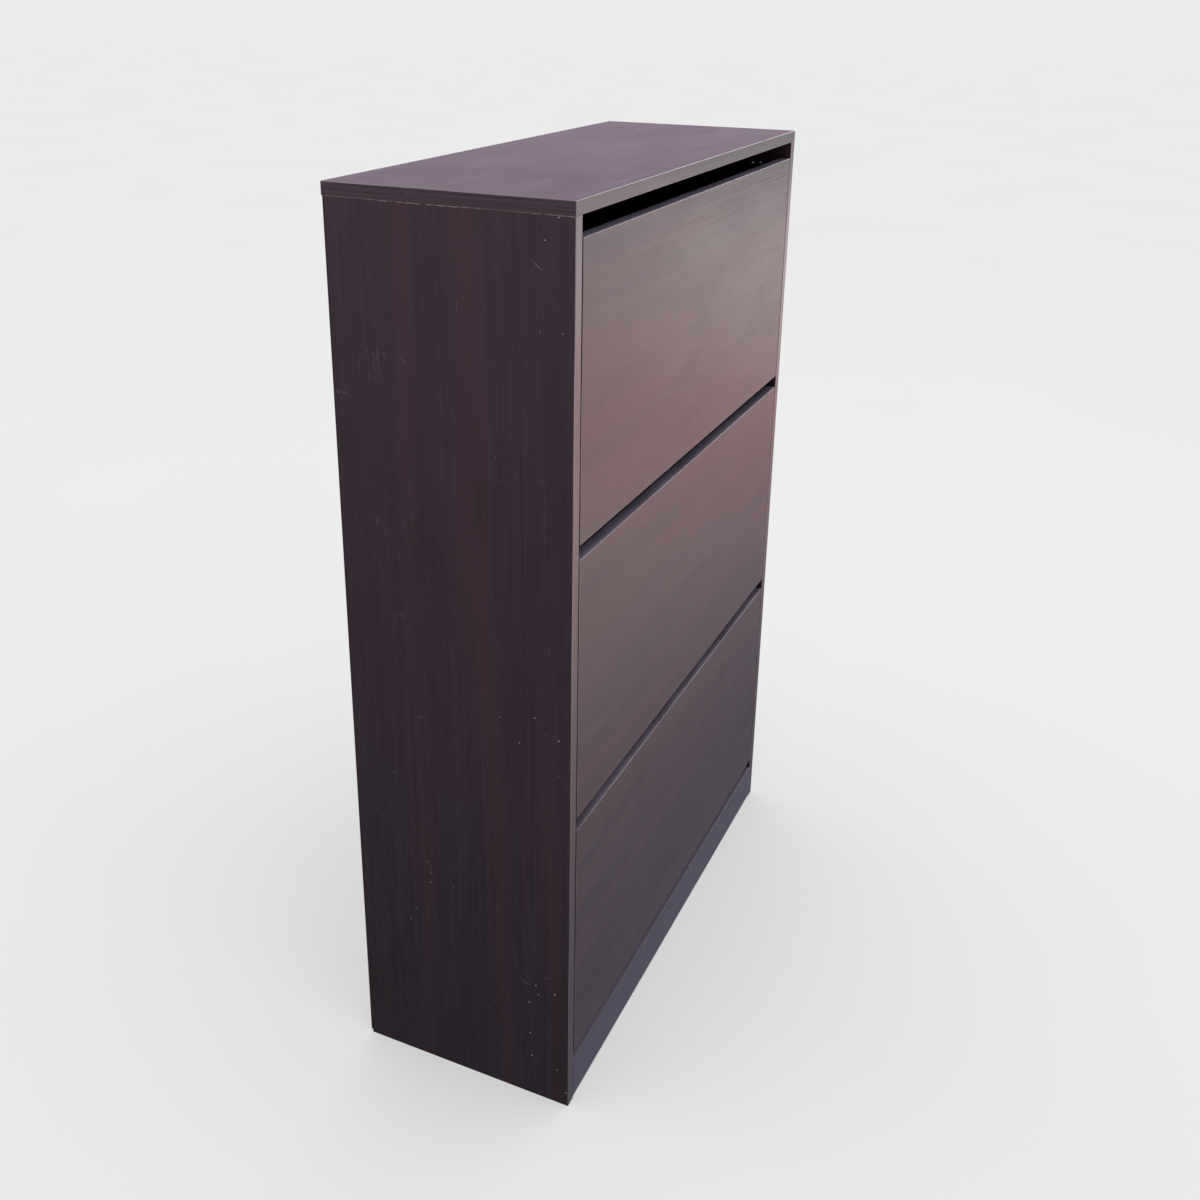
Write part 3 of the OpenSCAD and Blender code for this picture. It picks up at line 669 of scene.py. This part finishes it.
# %% Bands of the doors, the side panels and the top
for flap in FLAPS:
    node = f"{flap}_door_edging"
    low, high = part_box(node)
    path = corner_path(low, high, (X, Z), eased, (0, 1, 2, 3))
    shape = carried(band_section(high.y - low.y, 1 * MM, eased), *path, Y, low.y, True)
    stand_in(skin(f"{flap}_door_edge_band", *shape), node, door_edging)

for side in ("left", "right"):
    node = f"{side}_side_edging"
    low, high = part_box(node)
    centres = np.array([[0, low.y + eased, low.z], [0, low.y + eased, high.z]])
    outs = np.array([[0, -1, 0], [0, -1, 0]])
    shape = carried(band_section(high.x - low.x, high.y - low.y, eased), centres, outs, X, low.x, False)
    stand_in(skin(f"{side}_side_edge_band", *shape), node, side_edging)

low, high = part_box("top_panel_edging")
centres, outs = corner_path(low, high, (X, Y), eased, (2, 3))
rear = np.array([[centres[0, X], high.y, 0], [centres[-1, X], high.y, 0]])
centres = np.concatenate([rear[:1], centres, rear[1:]])
outs = np.concatenate([outs[:1], outs, outs[-1:]])
shape = carried(band_section(high.z - low.z, 1 * MM, eased), centres, outs, Z, low.z, False)
stand_in(skin("top_edge_band", *shape), "top_panel_edging", top_edging)
print("edge bands:", len(FLAPS) + 3)

# %% [markdown]
# ## Moulded and pressed parts
# A moulded bracket has no knife edges, and a pressed plate has a broken one. The frame's shape is copied,
# its doubles are merged, and a narrow bevel eases every edge. The shapes are many-sided, so a copy is surer
# than a new formula for each.


# %% Eased copies
SHARP_FROM = 35


def eased_copy(node, name, width, material):
    """The node's own mesh, merged, with a bevel of that width on every edge sharper than 35 degrees."""
    source = frame["nodes"][node].data
    points = np.empty(len(source.vertices) * 3, np.float32)
    source.vertices.foreach_get("co", points)
    corners = np.empty(len(source.loops), np.int32)
    source.loops.foreach_get("vertex_index", corners)
    piece = skin(name, points, corners.reshape(-1, 3).tolist(), sharp=SHARP_FROM)
    piece.modifiers.clear()
    bevel = piece.modifiers.new("eased", "BEVEL")
    bevel.width = width
    bevel.segments = 2
    bevel.limit_method = "ANGLE"
    bevel.angle_limit = np.radians(SHARP_FROM)
    even = piece.modifiers.new("even_faces", "WEIGHTED_NORMAL")
    even.keep_sharp = True
    return stand_in(piece, node, material)


for flap in FLAPS:
    for side in ("left", "right"):
        eased_copy(f"{flap}_{side}_bracket", f"{flap}_{side}_moulded_bracket", 0.5 * MM, black_plastic)
    eased_copy(f"{flap}_magnetic_catch", f"{flap}_catch_body", 0.6 * MM, black_plastic)
    eased_copy(f"{flap}_strike_plate", f"{flap}_pressed_strike", 0.3 * MM, zinc_plated_steel)
eased_copy("wall_brackets", "pressed_wall_brackets", 0.3 * MM, zinc_plated_steel)
eased_copy("plinth_blocks", "moulded_plinth_blocks", 0.8 * MM, black_plastic)
eased_copy("pivot_bushes", "moulded_pivot_bushes", 0.3 * MM, black_plastic)
print("eased copies:", 4 * len(FLAPS) + 3)

# %% [markdown]
# ## Screws and nails
# A wood screw's head is a turned dome with a cross pressed into it. The head is a profile turned about the
# screw's axis, and the cross is a dip whose depth is a formula of the distance to the two arms. The frame's
# node holds a group of loose screws, so each one is found by spreading a label over joined triangles.


# %% The separate solids of a node
def solids(node):
    """Boxes of a node's loose solids: the lowest label spreads over shared corners until nothing changes."""
    mesh = frame["nodes"][node].data
    points = np.empty(len(mesh.vertices) * 3, np.float32)
    mesh.vertices.foreach_get("co", points)
    points = points.reshape(-1, 3)
    corners = np.empty(len(mesh.loops), np.int64)
    mesh.loops.foreach_get("vertex_index", corners)
    spots, same = np.unique(np.round(points / (0.005 * MM)).astype(np.int64), axis=0, return_inverse=True)
    triangles = same.ravel()[corners].reshape(-1, 3)
    label = np.arange(len(spots))
    changed = True
    while changed:
        spread = label.copy()
        np.minimum.at(spread, triangles.ravel(), np.repeat(label[triangles].min(1), 3))
        spread = spread[spread]
        changed = bool((spread != label).any())
        label = spread
    groups = [points[label[same.ravel()] == one] for one in np.unique(label)]
    return [(group.min(0), group.max(0)) for group in groups]


def turned(profile, axis, steps, cross, arm):
    """Profile (radius, height) turned about an axis; a cross of that depth is pressed into the last rows.

    A point is in the cross where it is less than arm from one of two lines through the axis, and less than
    3.4 arms from the axis. The depth falls off over the outer third of an arm's width.
    """
    radius, height = profile[:, :1], profile[:, 1:]
    angle = np.linspace(0, 2 * np.pi, steps, endpoint=False)[None, :]
    from_arm = radius * np.minimum(abs(np.sin(angle)), abs(np.cos(angle)))
    beside = np.clip((arm - from_arm) / (0.35 * arm), 0, 1)
    inside = beside * np.clip((3.4 * arm - radius) / arm, 0, 1)
    on_head = height > profile[:, 1].max() - cross
    lift = height - cross * inside * on_head
    points = np.empty((len(profile), steps, 3))
    flat = [a for a in range(3) if a != axis]
    points[..., flat[0]] = radius * np.cos(angle)
    points[..., flat[1]] = radius * np.sin(angle)
    points[..., axis] = lift
    return points


def screw_profile(length, shank, head, dome):
    """Tip, shank, underside of the head, rim, then a dome whose height falls with the radius squared."""
    share = np.linspace(1, 0, 9)
    rise = dome * (1 - share**2)
    body = [[0, -length], [shank, -length + 2 * shank], [shank, -dome], [head, 0]]
    return np.array(body + np.stack([head * share, rise], 1)[1:].tolist())


print("solids in the nail node:", len(solids("back_panel_nails")))


# %% Screws with a crossed head, and nails
SHANK_SHARE, ARM_SHARE = 0.5, 0.16
CROSS, DOME, SIDES = 1.1 * MM, 1.4 * MM, 32
NAIL_DOME, NAIL_SIDES = 0.5 * MM, 14


def fastened(node, name, axis, outward, cross=CROSS, dome=DOME, steps=SIDES):
    """One domed, crossed head and shank for each loose solid of the node, joined in one piece.

    The heads look along the axis, forwards or backwards by the sign of outward. The shank's radius and the
    half width of the cross's arms are shares of the head's radius.
    """
    parts, faces, count = [], [], 0
    for low, high in solids(node):
        across = [a for a in range(3) if a != axis]
        head = (high[across[0]] - low[across[0]]) / 2
        length = high[axis] - low[axis]
        profile = screw_profile(length - dome, head * SHANK_SHARE, head, dome)
        shape = turned(profile, axis, steps, cross, head * ARM_SHARE)
        shape[..., axis] = outward * shape[..., axis]
        shape[..., axis] += (high[axis] - dome) if outward > 0 else (low[axis] + dome)
        for a in across:
            shape[..., a] += (low[a] + high[a]) / 2
        faces += (np.array(grid_quads(len(profile), steps, close_columns=True)) + count).tolist()
        count += len(profile) * steps
        parts.append(shape.reshape(-1, 3))
    return stand_in(skin(name, np.concatenate(parts), faces, sharp=50), node, zinc_plated_steel)


for flap in FLAPS:
    fastened(f"{flap}_door_screws", f"{flap}_crossed_door_screws", Y, 1)
fastened("catch_screws", "crossed_catch_screws", X, -1)
fastened("wall_bracket_screws", "crossed_bracket_screws", Z, -1)
fastened("back_panel_nails", "panel_nails", Y, 1, 0.0, NAIL_DOME, NAIL_SIDES)
print("crossed screws in the upper door:", len(solids("upper_door_screws")))

# %% [markdown]
# ## Studio
# A pale floor, a soft sky and an overhead softbox light the cabinet. The floor is a flat sheet, lit a little
# from below, as a paper backdrop on a light table is. A curved backdrop would hide the horizon, but a sheet
# 60 m wide that is nearly as pale as the sky needs no bend.


# %% Sheets and the floor
def sheet_of(name, low, high, material, rows=2):
    """Flat sheet over a rectangle at height low z: a grid of two parameters."""
    u, v = np.meshgrid(np.linspace(0, 1, rows), np.linspace(0, 1, rows))
    height = np.full_like(u, low[2])
    points = np.stack([low[0] + (high[0] - low[0]) * u, low[1] + (high[1] - low[1]) * v, height], -1)
    mesh = bpy.data.meshes.new(name)
    mesh.from_pydata(points.reshape(-1, 3).tolist(), [], grid_quads(rows, rows))
    mesh.materials.append(material)
    plane = bpy.data.objects.new(name, mesh)
    bpy.context.scene.collection.objects.link(plane)
    return plane


def paper():
    """Matt translucent paper, lit from below as on a light table, so that shadows on it stay pale."""
    material, tree, shader = new_material(
        "paper_backdrop", Roughness=1.0, Specular_IOR_Level=0.0, Emission_Color=colour("#ffffff"),
        Emission_Strength=0.35)
    place, _ = object_space(tree)
    tone = add(tree, "MapRange", pattern(tree, place, (900, 900, 900), 2.0), 0.3, 0.7)
    tree.links.new(add(tree, "Mix", tone, colour("#b9b9b9"), colour("#bbbbbb"), **COLOURS),
                   shader.inputs["Base Color"])
    return material


FLOOR_REACH = 30
floor = sheet_of("floor", (-FLOOR_REACH, -FLOOR_REACH, 0), (FLOOR_REACH, FLOOR_REACH, 0), paper())
print("floor:", floor.name)

# %% [markdown]
# ## Reflection card
# Dark glossy boards show what stands around them more than their own colour. A card on the floor that only
# reflections see gives the doors something to mirror: dim close to the cabinet, brighter further out, with a
# warm patch to the right. A picture of a room could be reflected instead, but a few colours over a distance
# are enough, and they stay the same from every side.

# %% Reflection card
# Each stop is a distance from the cabinet in metres and the card's colour there.
GLOW_AHEAD = [(0.05, "#5e5c64"), (1.1, "#d8c4c0"), (3.0, "#f2eeee")]
GLOW_BESIDE = [(0.1, "#303a40"), (0.8, "#645c68"), (3.6, "#887c8c")]
WARM_PATCH = (2.5, -1.15, 0.0)
CARD_REACH, CARD_HEIGHT, CARD_GLOW = 8, 0.4 * MM, 2.5


def ramp_of(tree, value, reach, stops, way):
    """Colours over a distance: each stop is metres out and a colour."""
    out = add(tree, "ValToRGB", add(tree, "MapRange", value, 0.0, reach))
    ramp = out.node.color_ramp
    ramp.interpolation = way
    while len(ramp.elements) < len(stops):
        ramp.elements.new(0.5)
    for element, (metres, shade) in zip(ramp.elements, stops):
        element.position = metres / reach
        element.color = colour(shade)
    return out


def card_glow():
    """One glow grows with the distance ahead of the cabinet and one with the distance beside it.

    A patch 1.6 m across is warmer: the glow there is multiplied by a pink that fades with distance.
    """
    material = bpy.data.materials.new("reflection_card")
    material.use_nodes = True
    tree = material.node_tree
    tree.nodes.clear()
    place = add(tree, "TexCoord", out="Object")
    axes = add(tree, "SeparateXYZ", place, out="X").node.outputs
    ahead = add(tree, "Math", cad_box[0][Y], axes["Y"], **MINUS)
    beside = add(tree, "Math", add(tree, "Math", axes["X"], operation="ABSOLUTE"), cad_box[1][X], **MINUS)
    in_front = add(tree, "Math", ahead, 0.0, operation="GREATER_THAN")
    both = add(tree, "Mix", in_front, ramp_of(tree, beside, 5.0, GLOW_BESIDE, "LINEAR"),
               ramp_of(tree, ahead, 3.0, GLOW_AHEAD, "EASE"), **COLOURS)
    away = add(tree, "VectorMath", place, WARM_PATCH, out="Value", operation="DISTANCE")
    warmth = add(tree, "MapRange", away, 1.3, 0.3, **SMOOTH)
    both = add(tree, "Mix", warmth, both, colour("#ffe4ea"), **COLOURS, blend_type="MULTIPLY")
    add(tree, "OutputMaterial", add(tree, "Emission", {"Color": both, "Strength": CARD_GLOW}))
    return material


card = sheet_of("reflection_card", (-CARD_REACH, -CARD_REACH, CARD_HEIGHT),
                (CARD_REACH, CARD_REACH, CARD_HEIGHT), card_glow())
card.visible_camera = False
card.visible_diffuse = False
card.visible_shadow = False
card.visible_transmission = False
print("seen only in reflections:", card.name)


# %% [markdown]
# ## Sky and lights
# The sky gives most of the soft light. The softbox over the cabinet lights the top, and the side window,
# which only reflections see, catches the upright edges. A sun lamp would give hard shadows, and a plain pale
# studio has none.

# %% Sky
def sky():
    """Soft sky: pale to the camera, white for diffuse light, mauve and dim overhead for reflections."""
    world = bpy.data.worlds.new("studio")
    bpy.context.scene.world = world
    world.use_nodes = True
    tree = world.node_tree
    tree.nodes.clear()
    ray = add(tree, "LightPath", out="Is Camera Ray").node.outputs
    up = add(tree, "SeparateXYZ", add(tree, "TexCoord", out="Generated"), out="Z")
    mirrored = add(tree, "Mix", add(tree, "MapRange", up, 0.0, 0.6), colour("#cab4c8"),
                   colour("#9a909c"), **COLOURS)
    light = add(tree, "Mix", ray["Is Glossy Ray"], colour("#fcfcfc"), mirrored, **COLOURS)
    seen = add(tree, "Mix", ray["Is Camera Ray"], light, colour("#ebebeb"), **COLOURS)
    strength = add(tree, "MapRange", ray["Is Glossy Ray"], 0.0, 1.0, 1.0, 1.5)
    add(tree, "OutputWorld", add(tree, "Background", {"Color": seen, "Strength": strength}))


sky()
print("world:", bpy.context.scene.world.name)


# %% Lights
def softbox(name, place, toward, width, height, power):
    """Area light at a place, turned so that its back points away from what it lights."""
    light = bpy.data.lights.new(name, "AREA")
    light.shape = "RECTANGLE"
    light.size = width
    light.size_y = height
    light.energy = power
    lamp = bpy.data.objects.new(name, light)
    bpy.context.scene.collection.objects.link(lamp)
    back = np.array(place, float) - np.array(toward, float)
    back /= np.linalg.norm(back)
    side = np.cross((0.0, 0.0, 1.0), back)
    side /= np.linalg.norm(side)
    turned_to = np.stack([side, np.cross(back, side), back, place], 1)
    lamp.matrix_world = Matrix(np.vstack([turned_to, [0, 0, 0, 1]]).tolist())
    return lamp


overhead = softbox("overhead_softbox", (0.3, -0.9, 3.4), (0, 0, 0.6), width=2.6, height=2.0, power=14)
window = softbox("side_window", (3.7, -0.9, 2.7), (0, -0.15, 1.1), width=2.2, height=1.8, power=50)
window.visible_diffuse = False
window.visible_camera = False
print("lights:", overhead.name, window.name)

# %% [markdown]
# ## Camera
# The cabinet is seen from its left front corner, a little above its top, and so close that its upright edges
# draw together towards the floor. Three turns aim the camera: a heading from the X axis, a dip below level,
# and a slight roll. The view is shifted a little, as the picture's middle is not on the lens's axis.

# %% Camera
HEADING, DIP, ROLL = np.radians([24.8, 20.8, 0.5])
camera_data = bpy.data.cameras.new("camera")
camera_data.sensor_width = 36
camera_data.lens = 38.6
camera_data.shift_x = 0.024
camera_data.shift_y = -0.1
camera = bpy.data.objects.new("camera", camera_data)
bpy.context.scene.collection.objects.link(camera)
forward = np.array([np.cos(DIP) * np.cos(HEADING), np.cos(DIP) * np.sin(HEADING), -np.sin(DIP)])
level = np.array([np.sin(HEADING), -np.cos(HEADING), 0.0])
right = np.cos(ROLL) * level + np.sin(ROLL) * np.cross(level, forward)
place = np.array([-1.598, -0.705, 1.398])
aimed = np.stack([right, np.cross(right, forward), -forward, place], 1)
camera.matrix_world = Matrix(np.vstack([aimed, [0, 0, 0, 1]]).tolist())
bpy.context.scene.camera = camera
bpy.context.scene.view_settings.view_transform = "Standard"
print("camera at", place.tolist(), "with a", round(camera_data.lens, 1), "mm lens")
